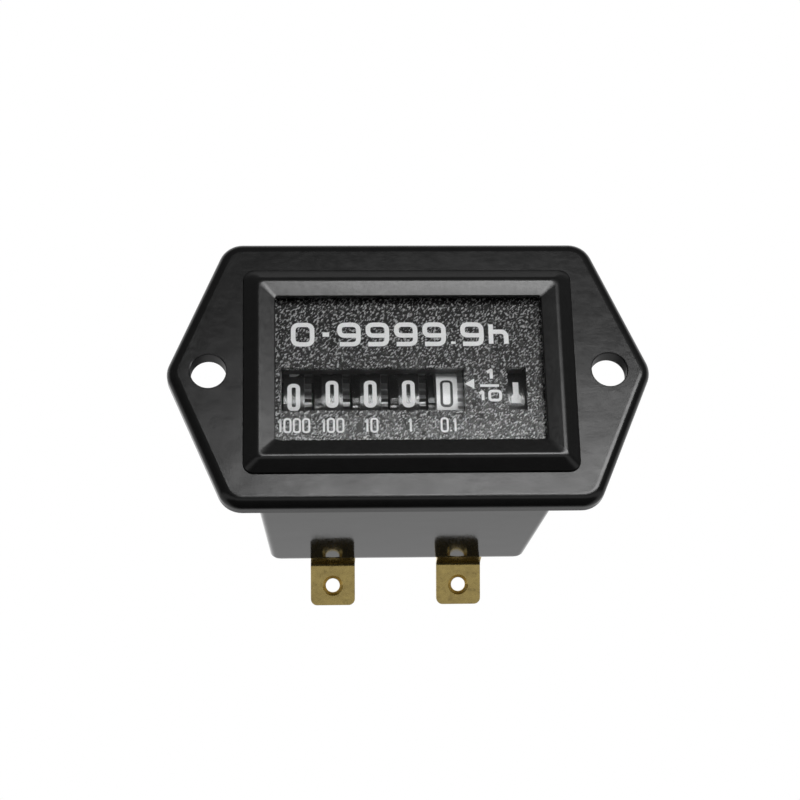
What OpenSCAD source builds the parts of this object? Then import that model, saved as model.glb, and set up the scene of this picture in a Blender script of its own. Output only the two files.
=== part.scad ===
// Panel hour meter: five-wheel counter with a stepping motor, in a two-hole flange.
// X runs right across the face, Y runs back through the panel, Z is up.
// The origin is the centre of the flange's back face, which lies on the panel.

/* [Flange] */
// Width between the two side points, before their rounding
flange_apex_w = 61.8; // [60:0.2:66]
// Length of the straight top and bottom edges, before rounding
flange_top_w = 46.4; // [44:0.2:50]
// Height of the flange
flange_h = 36; // [33:0.5:40]
// Thickness of the flange
flange_t = 2.6; // [2.4:0.1:4]
// Radius of the outline's six corners
flange_corner_r = 3.2; // [2:0.1:4.5]
// Rounding of the front edge
flange_edge_r = 0.9; // [0.3:0.1:1.2]
// Distance between the two panel screws
hole_pitch = 50.8; // [49:0.1:52]
// Diameter of the panel screw holes
hole_d = 4.5; // [3:0.1:5]

/* [Window frame] */
// Width of the frame at its base
frame_w = 42; // [41:0.1:43]
// Height of the frame at its base
frame_h = 27.6; // [27:0.1:29.5]
// Corner radius of the base
frame_corner_r = 2.4; // [1.8:0.1:3]
// Depth of the frame's seat in the flange
frame_seat = 1; // [0.6:0.1:1.2]
// Height of the base's upright edge above the flange
frame_step = 0.35; // [0.2:0.05:0.6]
// Width of the small ledge between that edge and the skirt
frame_ledge = 0.5; // [0.3:0.05:0.8]
// Height of the ridge above the flange
frame_proud = 1.5; // [1.2:0.1:2.2]
// Width of the sloping skirt between ledge and ridge
skirt_w = 1.25; // [0.9:0.05:1.5]
// Height of the face between ridge and opening, above and below
face_w = 2.3; // [2:0.1:2.6]
// How far the face falls from ridge to opening
face_drop = 0.4; // [0.2:0.05:0.5]
// Thickness of the lip in front of the lens
lip_t = 0.75; // [0.5:0.05:1]

/* [Lens and dial] */
// Thickness of the clear lens
lens_t = 0.9; // [0.6:0.1:1]
// Gap between lens and dial, kept by the lens's rim
lens_gap = 0.4; // [0.2:0.1:0.5]
// Width of the lens's rim
lens_rim_w = 0.6; // [0.4:0.1:0.7]
// Border of lens and dial that hides behind the frame's lip
lens_border = 1.25; // [1:0.05:1.4]
// Thickness of the dial plate
dial_t = 0.8; // [0.5:0.1:1]
// Width of the flange's ledge that carries the dial
dial_ledge = 0.9; // [0.6:0.1:1]
// Height of the dial's windows
window_h = 5.8; // [5:0.1:6.5]
// Width of the run window
run_window_w = 2.4; // [1.8:0.1:2.6]

/* [Case] */
// Depth of the case's seat in the flange's back
case_seat = 0.4; // [0.2:0.05:0.5]
// Width of the case where it meets the flange
case_w = 40.2; // [39.6:0.1:42]
// Height of the case where it meets the flange
case_h = 28.2; // [27.6:0.1:30]
// Depth of the case behind the panel
case_depth = 38.4; // [38:0.2:46]
// Wall of the case
case_wall = 0.8; // [0.6:0.05:0.9]
// Radius of the case's long edges
case_edge_r = 1; // [0.6:0.1:1.4]
// Radius of the case's upright rear edges
case_rear_r = 1.5; // [1:0.1:1.6]
// How much each side draws in from front to rear
case_draft = 2.3; // [1.6:0.1:2.5]

/* [Terminals] */
// Distance between the two blade terminals
terminal_pitch = 18; // [16:0.2:20]
// Width of the brass strip
strip_w = 6.3; // [4.8:0.1:6.5]
// Thickness of the brass strip
strip_t = 0.8; // [0.5:0.05:0.9]
// Straight length behind the case, before the bend
strip_run = 4.2; // [3:0.1:6]
// Inner radius of the bend
bend_r = 0.5; // [0.4:0.1:1]
// Angle of the blade from the vertical
blade_tilt = 24; // [0:1:40]
// Length of the blade below its bend
blade_l = 5.6; // [5:0.1:8]
// Radius of the blade's two lower corners
blade_corner_r = 0.9; // [0.5:0.1:1.2]
// Diameter of the blade's hole
blade_hole_d = 2; // [1.5:0.1:2.4]
// Width of the countersink round that hole
blade_sink = 0.45; // [0.2:0.05:0.6]

/* [Counter] */
// Place of the tenths wheel across the face
tenths_x = 4.8; // [4.6:0.05:5]
// Distance from wheel to wheel
wheel_pitch = 4.85; // [4.75:0.05:4.95]
// Radius of the wheels' number rims
rim_r = 7.8; // [7.5:0.05:7.9]
// Width of a number rim
rim_w = 2.66; // [2.4:0.02:2.7]
// Width of the wheels' gears and lug discs
gear_w = 0.9; // [0.7:0.05:0.95]
// Height of the wheels' axis
axis_z = -2.3; // [-2.6:0.1:-1.8]
// Gap between the dial's back and the number rims
rim_gap = 1.1; // [0.8:0.1:1.6]
// Diameter of the wheels' shaft
number_shaft_d = 1.6; // [1.2:0.1:2]
// Diameter of the pinions' shaft
pinion_shaft_d = 1.2; // [0.8:0.1:1.3]
// Radial play of everything that turns on a shaft
running_fit = 0.05; // [0.03:0.01:0.08]
// End play and side clearance of the turning pieces
side_play = 0.1; // [0.05:0.01:0.14]

/* [Gear train] */
// Distance from the wheels' shaft to the pinions' shaft
centre_distance = 9; // [8.9:0.05:9.2]
// Direction of the idler as seen from the wheels' shaft
idler_angle = 30; // [26:1:34]
// Diameter of the idler's arbor
idler_arbor_d = 1; // [0.8:0.05:1.1]
// Diameter of the rotor's arbor
rotor_arbor_d = 0.8; // [0.6:0.05:0.9]

/* [Movement frame] */
// Thickness of the side plates
plate_t = 1; // [0.8:0.05:1.1]
// Clearance between the movement frame and the flange's opening
frame_play = 0.1; // [0.05:0.01:0.15]
// Depth of the front bars, from the dial's back
bar_depth = 2; // [1.5:0.1:2.4]
// Height of the lower front bar and both rear bars
bar_h = 1.6; // [1.2:0.1:2]

/* [Motor] */
// Radius of the rotor's magnet
magnet_r = 1.9; // [1.6:0.05:1.9]
// Length of the rotor's magnet
magnet_l = 1.6; // [1.2:0.1:1.8]
// Gap between magnet and stator
air_gap = 0.4; // [0.25:0.05:0.4]
// Width of the stator's ring round the rotor
stator_ring = 0.9; // [0.6:0.05:0.9]
// Thickness of the stator plate and of the coil's core
stator_t = 0.8; // [0.6:0.05:0.9]
// Distance from the rotor to the coil
coil_reach = 8.7; // [8.2:0.1:9.5]
// Distance from the rotor's level to each stator pad
pad_offset = 6.5; // [6:0.1:6.8]
// Width of the square stator pads
pad_w = 3.2; // [2.6:0.1:3.4]
// Width of the coil's core
core_w = 2.4; // [2:0.1:2.6]
// Radius of the bobbin's tube
bobbin_r = 1.5; // [1.45:0.05:1.7]
// Radius of the bobbin's end flanges
bobbin_flange_r = 2.9; // [2.6:0.1:3]
// Thickness of the bobbin's end flanges
bobbin_flange_t = 0.6; // [0.4:0.1:0.8]
// Diameter of the two stator screws
screw_d = 1.2; // [1:0.1:1.4]

/* [Circuit board] */
// Thickness of the board
board_t = 1.2; // [0.8:0.1:1.6]
// Gap between the coil and the board behind it
coil_gap = 0.3; // [0.2:0.1:1]
// Radius of the four posts between the board and the case's rear wall
post_r = 1.5; // [1.2:0.1:1.8]
// Gap between the board's edge and the case
board_gap = 0.5; // [0.3:0.1:0.8]
// Radius of the smoothing capacitor
capacitor_r = 2.5; // [2:0.1:3]
// Length of the smoothing capacitor
capacitor_l = 6; // [5:0.1:7]

/* [Hidden] */
$fn = 64;
arc_steps = 8;
edge_steps = 4;
slice_t = 0.02;
cut = 1;
steel = [0.72, 0.73, 0.75];
ivory = [0.85, 0.83, 0.76];
brass = [0.72, 0.60, 0.34];
black = [0.07, 0.07, 0.08];
satin_black = [0.16, 0.16, 0.17];

// Levels through the face, from front to back
front_y = -flange_t;
ridge_y = front_y - frame_proud;
face_y = ridge_y + face_drop;
lens_front_y = face_y + lip_t;
lens_back_y = lens_front_y + lens_t;
dial_front_y = lens_back_y + lens_gap;
dial_back_y = dial_front_y + dial_t;
frame_back_y = front_y + frame_seat;

// Sizes across the face
skirt_base_w = frame_w - 2 * frame_ledge;
skirt_base_h = frame_h - 2 * frame_ledge;
ridge_w = skirt_base_w - 2 * skirt_w;
ridge_h = skirt_base_h - 2 * skirt_w;
ridge_r = frame_corner_r - frame_ledge - skirt_w / 2;
opening_h = ridge_h - 2 * face_w;
opening_r = 0.4;
lens_h = opening_h + 2 * lens_border;
seat_play = 0.05;
passage_h = lens_h - 2 * dial_ledge;
passage_r = 0.3;
seat_r = 0.6;

// Counter
axis_y = dial_back_y + rim_gap + rim_r;
pinion_y = axis_y + centre_distance;
wheel_count = 5;
wheel_teeth = 40;
pinion_teeth = 16;
drive_teeth = 48;
drum_pinion_teeth = 12;
drum_teeth = 60;
idler_teeth = 30;
rotor_teeth = 10;
number_r = number_shaft_d / 2;
pinion_shaft_r = pinion_shaft_d / 2;
wheel_module = 2 * centre_distance / (wheel_teeth + pinion_teeth);
drive_module = 2 * centre_distance / (drive_teeth + drum_pinion_teeth);
fine_module = 2 * centre_distance / (drum_teeth + idler_teeth);
hub_l = wheel_pitch - side_play;
hub_wall = 1.1;
hub_r = number_r + hub_wall;
web_t = 1;
ring_r = 5.2;
lock_r = 5.5;
lug_r = 6;
lug_w = 0.7;
lug_angles = [181, 193];
zone_w = wheel_pitch - rim_w;
sleeve_r = centre_distance - rim_r - 2 * side_play;
function wheel_x(i) = tenths_x - (wheel_count - 1 - i) * wheel_pitch;
function zone_x(i) = wheel_x(i) + rim_w / 2;
window_margin = 0.37;
window_cover = 0.13;
window_x0 = wheel_x(0) - rim_w / 2 - window_margin;
window_x1 = tenths_x + rim_w / 2 + gear_w - window_cover;

// Gear train to the right of the tenths wheel
train_x = tenths_x + wheel_pitch / 2;
drum_pinion_gap = 0.975;
gear_overhang = 0.2;
gear_gap = 0.4;
idler_overhang = 0.1;
drum_gap = 1.4;
drum_pinion_x = train_x + drum_pinion_gap;
drive_x = drum_pinion_x + gear_overhang;
drive_w = 1;
drum_pinion_w = drive_w + 2 * gear_overhang;
fine_x = drum_pinion_x + drum_pinion_w + gear_gap;
fine_w = 0.8;
idler_w = fine_w + 2 * idler_overhang;
drum_x = fine_x + fine_w + drum_gap;
drum_w = 2.8;
run_window_x = drum_x + drum_w / 2;
left_plate_gap = 0.27;
right_plate_gap = 0.4;
left_plate_x1 = wheel_x(0) - rim_w / 2 - left_plate_gap;
left_plate_x0 = left_plate_x1 - plate_t;
right_plate_x0 = drum_x + drum_w + right_plate_gap;
right_plate_x1 = right_plate_x0 + plate_t;

// Widths that let the movement through the flange, and close over it in front
passage_w = 2 * max(-left_plate_x0, right_plate_x1) + 2 * frame_play;
lens_w = passage_w + 2 * dial_ledge;
opening_w = lens_w - 2 * lens_border;

// Idler and rotor
idler_y = axis_y + centre_distance * cos(idler_angle);
idler_z = axis_z + centre_distance * sin(idler_angle);
idler_arbor_r = idler_arbor_d / 2;
rotor_arbor_r = rotor_arbor_d / 2;
rotor_y = idler_y + fine_module * (idler_teeth + rotor_teeth) / 2;
rotor_z = idler_z;
idler_x = fine_x - idler_overhang;
arbor_head_t = 0.2;
arbor_head_r = 0.8;
collar_t = 0.2;

// Motor
magnet_gap = 0.7;
magnet_x = idler_x + idler_w + magnet_gap;
stator_x = magnet_x + (magnet_l - stator_t) / 2;
stator_hole_r = magnet_r + air_gap;
stator_r = stator_hole_r + stator_ring;
rotor_hub_r = 1;
coil_y = rotor_y + coil_reach;
core_x = stator_x - stator_t;
coil_x = core_x + stator_t / 2;
bobbin_play = 0.2;
bobbin_l = 2 * pad_offset - pad_w - 2 * bobbin_play;
coil_clear = 0.4;
pole_root = 0.2;
pole_split = 0.3;
screw_r = screw_d / 2;
screw_head_r = 1.1;
screw_head_t = 0.7;
boss_r = 1.4;
collar_gap = 0.25;
idler_hub_x1 = stator_x - collar_t - collar_gap;

// Movement frame
frame_half_h = passage_h / 2 - frame_play;
plate_tail = 8.2;
plate_margin = 0.7;
left_plate_y1 = pinion_y + plate_tail;
right_plate_y1 = coil_y + pad_w / 2 + plate_margin;
top_bar_h = 3.4;
rear_bar_y = left_plate_y1 - bar_h;
upper_bar_y = rotor_y + plate_margin;

// Case and board
case_in_depth = case_depth - case_wall;
function drawn_in(size, y) = size - 2 * case_draft * y / case_depth;
function case_in_w(y) = drawn_in(case_w, y) - 2 * case_wall;
function case_in_h(y) = drawn_in(case_h, y) - 2 * case_wall;
case_in_r = 0.4;
board_front_y = coil_y + bobbin_flange_r + coil_gap;
board_back_y = board_front_y + board_t;
post_l = case_in_depth - board_back_y;
board_w = case_in_w(board_back_y) - 2 * board_gap;
board_h = case_in_h(board_back_y) - 2 * board_gap;
post_edge = 0.6;
post_x = board_w / 2 - post_r - post_edge;
post_z = board_h / 2 - post_r - post_edge;
strip_z = -case_in_h(case_depth) / 2;
slot_play = 0.05;
slot_top_z = strip_z + strip_t + slot_play;
tail_l = 4.5;
case_sharp_r = 0.3;
bend_y = case_depth + strip_run;
blade_hole_at = blade_l / 2;
sink_over = 0.2;
rim_wall = 1.2;
drum_sleeve_wall = 0.6;
drum_sleeve_r = number_r + drum_sleeve_wall;
idler_hub_r = 0.95;
winding_inset = 0.3;
coil_pin_r = 0.25;
coil_pin_y = coil_y + bobbin_flange_r / 2;
coil_pin_z = rotor_z - bobbin_l / 2 + bobbin_flange_t / 2;
screw_slot_w = 0.3;
chip_x = -3;
chip_z = 2;
chip_w = 4.6;
chip_t = 1.6;
chip_lift = 0.15;
chip_leads = 4;
lead_pitch = chip_w / chip_leads;
crystal_r = 1;
crystal_l = 5.8;
crystal_drop = 4;
lead_w = 0.4;
lead_r = 0.25;
lead_reach = 1;
capacitor_x = -11.5;
capacitor_z = 4;
resistor_x = -10.5;
resistor_z = -3;
resistor_r = 0.9;
resistor_l = 3.6;
diode_r = 0.8;
diode_l = 3.2;
diode_drop = 3.4;

// Points of an arc about a centre, from one angle to another
function arc(centre, r, from, to) = [
    for (i = [0 : arc_steps])
        let (a = from + (to - from) * i / arc_steps)
        centre + r * [cos(a), sin(a)]
];

// Outline of a rectangle with round corners
function rounded_rect(w, h, r) = let (x = w / 2 - r, z = h / 2 - r) concat(
    arc([x, z], r, 0, 90),
    arc([-x, z], r, 90, 180),
    arc([-x, -z], r, 180, 270),
    arc([x, -z], r, 270, 360)
);

// Outline of the six-sided flange, drawn in by an inset
flange_slope = atan2(flange_h / 2, (flange_apex_w - flange_top_w) / 2);
corner_z = flange_h / 2 - flange_corner_r;
corner_x = flange_top_w / 2 - flange_corner_r * tan(flange_slope / 2);
apex_x = flange_apex_w / 2 - flange_corner_r / sin(flange_slope);
function flange_outline(inset) = let (r = flange_corner_r - inset, turn = 90 - flange_slope) concat(
    arc([apex_x, 0], r, -turn, turn),
    arc([corner_x, corner_z], r, turn, 90),
    arc([-corner_x, corner_z], r, 90, 180 - turn),
    arc([-apex_x, 0], r, 180 - turn, 180 + turn),
    arc([-corner_x, -corner_z], r, 180 + turn, 270),
    arc([corner_x, -corner_z], r, 270, 360 - turn)
);

// A flat outline in X and Z, made solid from one depth to another
module slab(points, y0, y1) {
    translate([0, y1, 0]) rotate([90, 0, 0]) linear_extrude(y1 - y0) polygon(points);
}

// A flat shape in Y and Z, made solid from one side to another
module across(x0, x1) {
    translate([x0, 0, 0]) rotate([90, 0, 90]) linear_extrude(x1 - x0) children();
}

// A round rod along X about a point in Y and Z
module rod(x0, x1, y, z, r) {
    translate([x0, y, z]) rotate([0, 90, 0]) cylinder(h = x1 - x0, r = r);
}

// A box between two corners
module box(from, to) {
    translate(from) cube(to - from);
}

// Involute gearing
pressure_angle = 25;
addendum = 0.8;
dedendum = 1.05;
backlash = 0.16;
function involute(a) = tan(a) * 180 / PI - a;
function half_tooth(teeth, mod, r) = let (base = teeth * mod / 2 * cos(pressure_angle))
    90 / teeth * (1 - backlash) + involute(pressure_angle) - involute(acos(base / max(r, base)));
function gear_points(teeth, mod, phase) = let (
    pitch_r = teeth * mod / 2,
    radii = [pitch_r - dedendum * mod, pitch_r, pitch_r + addendum * mod]
) [
    for (k = [0 : teeth - 1])
        for (j = [0 : 5])
            let (
                r = radii[j < 3 ? j : 5 - j],
                a = phase + 360 * k / teeth + (j < 3 ? -1 : 1) * half_tooth(teeth, mod, r)
            )
            r * [cos(a), sin(a)]
];

// Phase at which gear b meshes with gear a, when b lies in the given direction from a
function mesh_phase(teeth_a, phase_a, direction, teeth_b) =
    direction + 180 + 180 / teeth_b - (phase_a - direction) * teeth_a / teeth_b;

wheel_phase = 0;
pinion_phase = mesh_phase(wheel_teeth, wheel_phase, 0, pinion_teeth);
drive_phase = 0;
drum_pinion_phase = mesh_phase(drive_teeth, drive_phase, 180, drum_pinion_teeth);
drum_phase = 0;
idler_phase = mesh_phase(drum_teeth, drum_phase, idler_angle, idler_teeth);
rotor_phase = mesh_phase(idler_teeth, idler_phase, 0, rotor_teeth);

module gear(teeth, mod, phase, x0, x1, y, z) {
    translate([0, y, z]) across(x0, x1) polygon(gear_points(teeth, mod, phase));
}

// Face and case

module front_flange() {
    color(satin_black) difference() {
        hull() {
            slab(flange_outline(0), front_y + flange_edge_r, 0);
            for (i = [0 : edge_steps])
                let (
                    a = 90 * i / edge_steps,
                    inset = flange_edge_r * (1 - cos(a)),
                    y = front_y + flange_edge_r * (1 - sin(a))
                )
                slab(flange_outline(inset), y, y + slice_t);
        }
        for (side = [-1, 1])
            translate([side * hole_pitch / 2, front_y - cut, 0]) rotate([-90, 0, 0])
                cylinder(h = flange_t + 2 * cut, d = hole_d);
        slab(
            rounded_rect(frame_w + 2 * seat_play, frame_h + 2 * seat_play, frame_corner_r + seat_play),
            front_y - cut, frame_back_y
        );
        slab(rounded_rect(lens_w + 2 * seat_play, lens_h + 2 * seat_play, seat_r), front_y, dial_back_y);
        slab(rounded_rect(passage_w, passage_h, passage_r), front_y, cut);
        slab(rounded_rect(case_w + 2 * seat_play, case_h + 2 * seat_play, case_edge_r + seat_play),
            -case_seat, cut);
    }
}

module window_frame() {
    color(black) difference() {
        union() {
            slab(rounded_rect(frame_w, frame_h, frame_corner_r), front_y - frame_step, frame_back_y);
            hull() {
                slab(rounded_rect(skirt_base_w, skirt_base_h, frame_corner_r - frame_ledge),
                    front_y - frame_step - slice_t, frame_back_y);
                slab(rounded_rect(ridge_w, ridge_h, ridge_r), ridge_y, ridge_y + slice_t);
            }
        }
        hull() {
            slab(rounded_rect(ridge_w, ridge_h, ridge_r), ridge_y - slice_t, ridge_y);
            slab(rounded_rect(opening_w, opening_h, opening_r), face_y, face_y + slice_t);
        }
        slab(rounded_rect(opening_w, opening_h, opening_r), ridge_y - cut, 0);
        slab(rounded_rect(lens_w + 2 * seat_play, lens_h + 2 * seat_play, seat_r), lens_front_y, 0);
    }
}

module lens() {
    color([0.9, 0.95, 1, 0.3]) {
        slab(rounded_rect(lens_w, lens_h, seat_r), lens_front_y, lens_back_y);
        difference() {
            slab(rounded_rect(lens_w, lens_h, seat_r), lens_back_y, dial_front_y);
            slab(rounded_rect(lens_w - 2 * lens_rim_w, lens_h - 2 * lens_rim_w, opening_r),
                lens_back_y - cut, dial_front_y + cut);
        }
    }
}

module dial_plate() {
    color(black) difference() {
        slab(rounded_rect(lens_w, lens_h, seat_r), dial_front_y, dial_back_y);
        box([window_x0, dial_front_y - cut, axis_z - window_h / 2],
            [window_x1, dial_back_y + cut, axis_z + window_h / 2]);
        box([run_window_x - run_window_w / 2, dial_front_y - cut, axis_z - window_h / 2],
            [run_window_x + run_window_w / 2, dial_back_y + cut, axis_z + window_h / 2]);
    }
}

module rear_case() {
    color(black) {
        difference() {
            hull() {
                slab(rounded_rect(case_w, case_h, case_edge_r), -case_seat, slice_t);
                for (i = [0 : edge_steps])
                    let (
                        a = 90 * i / edge_steps,
                        inset = 1 - cos(a),
                        y = case_depth - case_rear_r * (1 - sin(a))
                    )
                    slab(rounded_rect(
                        drawn_in(case_w, y) - 2 * case_rear_r * inset,
                        drawn_in(case_h, y) - 2 * case_sharp_r * inset,
                        case_edge_r
                    ), y - slice_t, y);
            }
            hull()
                for (y = [-case_seat - cut, case_in_depth - slice_t])
                    slab(rounded_rect(case_in_w(y), case_in_h(y), case_in_r), y, y + slice_t);
            for (side = [-1, 1])
                box(
                    [side * terminal_pitch / 2 - strip_w / 2 - slot_play, case_in_depth - cut, strip_z],
                    [side * terminal_pitch / 2 + strip_w / 2 + slot_play, case_depth + cut, slot_top_z]
                );
        }
        for (x = [-post_x, post_x])
            for (z = [-post_z, post_z])
                translate([x, board_back_y, z]) rotate([-90, 0, 0])
                    cylinder(h = post_l + case_wall / 2, r = post_r);
    }
}

// Side view of a bent strip: a tail up the board's back, a run along the floor and a hanging blade
function strip_profile() = let (
    centre = [bend_y, strip_z - bend_r],
    outward = [cos(blade_tilt), sin(blade_tilt)],
    along = blade_l * [sin(blade_tilt), -cos(blade_tilt)]
) concat(
    [[board_back_y, strip_z + tail_l], [board_back_y, strip_z]],
    arc(centre, bend_r, 90, blade_tilt),
    [centre + bend_r * outward + along, centre + (bend_r + strip_t) * outward + along],
    arc(centre, bend_r + strip_t, blade_tilt, 90),
    [[board_back_y + strip_t, strip_z + strip_t], [board_back_y + strip_t, strip_z + tail_l]]
);

// Outline of what is cut off to round a corner, on the left or the right; its end chords run on past the faces
function corner_cut(side, r) = let (p = arc([0, 0], r, 0, 90)) [
    for (q = concat(
        [2 * p[0] - p[1]],
        [for (i = [1 : arc_steps - 1]) p[i]],
        [2 * p[arc_steps] - p[arc_steps - 1], [r + cut, r + cut]]
    ))
        [side * q.x, q.y]
];

module terminal(x) {
    hole_r = blade_hole_d / 2;
    color(brass) difference() {
        across(x - strip_w / 2, x + strip_w / 2) polygon(strip_profile());
        translate([x, bend_y, strip_z - bend_r]) rotate([blade_tilt - 90, 0, 0]) translate([0, 0, bend_r]) {
            for (side = [-1, 1])
                translate([side * (strip_w / 2 - blade_corner_r), blade_l - blade_corner_r, -cut])
                    linear_extrude(strip_t + 2 * cut) polygon(corner_cut(side, blade_corner_r));
            translate([0, blade_hole_at, -cut]) cylinder(h = strip_t + 2 * cut, r = hole_r);
            translate([0, blade_hole_at, -sink_over])
                cylinder(
                    h = blade_sink + 2 * sink_over,
                    r1 = hole_r + blade_sink + sink_over,
                    r2 = hole_r - sink_over
                );
        }
    }
}

module terminal_left() {
    terminal(-terminal_pitch / 2);
}

module terminal_right() {
    terminal(terminal_pitch / 2);
}

// Movement frame and its fixed shafts

module movement_frame() {
    color([0.82, 0.80, 0.74]) difference() {
        union() {
            side_plate(left_plate_x0, left_plate_x1, left_plate_y1);
            side_plate(right_plate_x0, right_plate_x1, right_plate_y1);
            cross_bar(dial_back_y, bar_depth, -frame_half_h, bar_h);
            cross_bar(dial_back_y, bar_depth, frame_half_h - top_bar_h, top_bar_h);
            cross_bar(rear_bar_y, bar_h, -frame_half_h, bar_h);
            cross_bar(upper_bar_y, bar_h, frame_half_h - bar_h, bar_h);
            for (side = [-1, 1])
                rod(stator_x + stator_t, right_plate_x0, coil_y, rotor_z + side * pad_offset, boss_r);
        }
        rod(left_plate_x0 - cut, right_plate_x1 + cut, axis_y, axis_z, number_r);
        rod(left_plate_x0 - cut, right_plate_x1 + cut, pinion_y, axis_z, pinion_shaft_r);
        rod(right_plate_x0 - cut, right_plate_x1 + cut, idler_y, idler_z, idler_arbor_r);
        rod(right_plate_x0 - cut, right_plate_x1 + cut, rotor_y, rotor_z, rotor_arbor_r);
        for (side = [-1, 1])
            rod(stator_x, right_plate_x1 + cut, coil_y, rotor_z + side * pad_offset, screw_r);
    }
}

// A side plate of the movement frame, from the dial's back to its rear edge
module side_plate(x0, x1, rear_y) {
    box([x0, dial_back_y, -frame_half_h], [x1, rear_y, frame_half_h]);
}

// A bar of the movement frame from side plate to side plate
module cross_bar(y, depth, z, height) {
    box([left_plate_x1, y, z], [right_plate_x0, y + depth, z + height]);
}

module number_shaft() {
    color(steel) rod(left_plate_x0, right_plate_x1, axis_y, axis_z, number_r);
}

module pinion_shaft() {
    color(steel) rod(left_plate_x0, right_plate_x1, pinion_y, axis_z, pinion_shaft_r);
}

module idler_arbor() {
    color(steel) {
        rod(idler_x - side_play - arbor_head_t, right_plate_x1, idler_y, idler_z, idler_arbor_r);
        rod(idler_x - side_play - arbor_head_t, idler_x - side_play, idler_y, idler_z, arbor_head_r);
        rod(idler_hub_x1 + side_play, idler_hub_x1 + side_play + collar_t, idler_y, idler_z, arbor_head_r);
    }
}

module rotor_arbor() {
    color(steel) {
        rod(idler_x - side_play - arbor_head_t, right_plate_x1, rotor_y, rotor_z, rotor_arbor_r);
        rod(idler_x - side_play - arbor_head_t, idler_x - side_play, rotor_y, rotor_z, arbor_head_r);
    }
}

// Counter wheels and pinions

// A ring-shaped cut about the wheels' axis
module wheel_pocket(x0, x1, inner_r, outer_r) {
    difference() {
        rod(x0, x1, axis_y, axis_z, outer_r);
        rod(x0 - cut, x1 + cut, axis_y, axis_z, inner_r);
    }
}

// The disc whose two lugs carry to the next wheel
module lug_disc(x0, x1) {
    translate([0, axis_y, axis_z]) across(x0, x1) {
        circle(r = lock_r);
        for (a = lug_angles)
            rotate(a) translate([0, -lug_w / 2]) square([lug_r, lug_w]);
    }
}

module number_wheel(i) {
    x = wheel_x(i);
    rim_x0 = x - rim_w / 2;
    rim_x1 = x + rim_w / 2;
    carries = i > 0;
    left_x = carries ? x - hub_l / 2 : left_plate_x1 + side_play;
    difference() {
        union() {
            rod(rim_x0, rim_x1, axis_y, axis_z, rim_r);
            gear(wheel_teeth, wheel_module, wheel_phase, rim_x1, rim_x1 + gear_w, axis_y, axis_z);
            if (carries) lug_disc(rim_x0 - gear_w, rim_x0);
            rod(left_x, x + hub_l / 2, axis_y, axis_z, hub_r);
        }
        wheel_pocket(rim_x0 - gear_w - cut, x - web_t / 2, hub_r, ring_r);
        wheel_pocket(x + web_t / 2, rim_x1 + gear_w + cut, hub_r, ring_r);
        rod(left_x - cut, x + hub_l / 2 + cut, axis_y, axis_z, number_r + running_fit);
    }
}

module thousands_wheel() {
    color(black) number_wheel(0);
}

module hundreds_wheel() {
    color(black) number_wheel(1);
}

module tens_wheel() {
    color(black) number_wheel(2);
}

module units_wheel() {
    color(black) number_wheel(3);
}

module tenths_wheel() {
    color([0.93, 0.93, 0.91]) number_wheel(4);
}

// The pinion that turns wheel i from the lugs of the wheel to its right
module transfer_pinion(i) {
    middle_x = zone_x(i) + zone_w / 2;
    left_x = i > 0 ? middle_x - hub_l / 2 : left_plate_x1 + side_play;
    color(ivory) difference() {
        union() {
            gear(
                pinion_teeth, wheel_module, pinion_phase,
                zone_x(i) + side_play, zone_x(i) + zone_w - side_play, pinion_y, axis_z
            );
            rod(left_x, middle_x + hub_l / 2, pinion_y, axis_z, sleeve_r);
        }
        rod(left_x - cut, middle_x + hub_l / 2 + cut, pinion_y, axis_z, pinion_shaft_r + running_fit);
    }
}

module thousands_pinion() {
    transfer_pinion(0);
}

module hundreds_pinion() {
    transfer_pinion(1);
}

module tens_pinion() {
    transfer_pinion(2);
}

module units_pinion() {
    transfer_pinion(3);
}

// Drive from the motor

module drive_gear() {
    left_x = zone_x(3) + zone_w / 2 + hub_l / 2 + side_play;
    right_x = right_plate_x0 - side_play;
    color(ivory) difference() {
        union() {
            gear(pinion_teeth, wheel_module, pinion_phase, zone_x(4) + side_play, drive_x, pinion_y, axis_z);
            gear(drive_teeth, drive_module, drive_phase, drive_x, drive_x + drive_w, pinion_y, axis_z);
            rod(left_x, right_x, pinion_y, axis_z, sleeve_r);
        }
        rod(left_x - cut, right_x + cut, pinion_y, axis_z, pinion_shaft_r + running_fit);
    }
}

module run_indicator() {
    left_x = train_x + side_play / 2;
    right_x = right_plate_x0 - side_play;
    middle_x = drum_x + drum_w / 2;
    color(black) difference() {
        union() {
            rod(left_x, right_x, axis_y, axis_z, drum_sleeve_r);
            gear(
                drum_pinion_teeth, drive_module, drum_pinion_phase,
                drum_pinion_x, drum_pinion_x + drum_pinion_w, axis_y, axis_z
            );
            gear(drum_teeth, fine_module, drum_phase, fine_x, fine_x + fine_w, axis_y, axis_z);
            rod(drum_x, drum_x + drum_w, axis_y, axis_z, rim_r);
        }
        wheel_pocket(drum_x - cut, middle_x - web_t / 2, drum_sleeve_r, rim_r - rim_wall);
        wheel_pocket(middle_x + web_t / 2, drum_x + drum_w + cut, drum_sleeve_r, rim_r - rim_wall);
        rod(left_x - cut, right_x + cut, axis_y, axis_z, number_r + running_fit);
    }
}

module idler_gear() {
    color(ivory) difference() {
        union() {
            gear(idler_teeth, fine_module, idler_phase, idler_x, idler_x + idler_w, idler_y, idler_z);
            rod(idler_x, idler_hub_x1, idler_y, idler_z, idler_hub_r);
        }
        rod(idler_x - cut, idler_hub_x1 + cut, idler_y, idler_z, idler_arbor_r + running_fit);
    }
}

// Stepping motor

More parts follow.
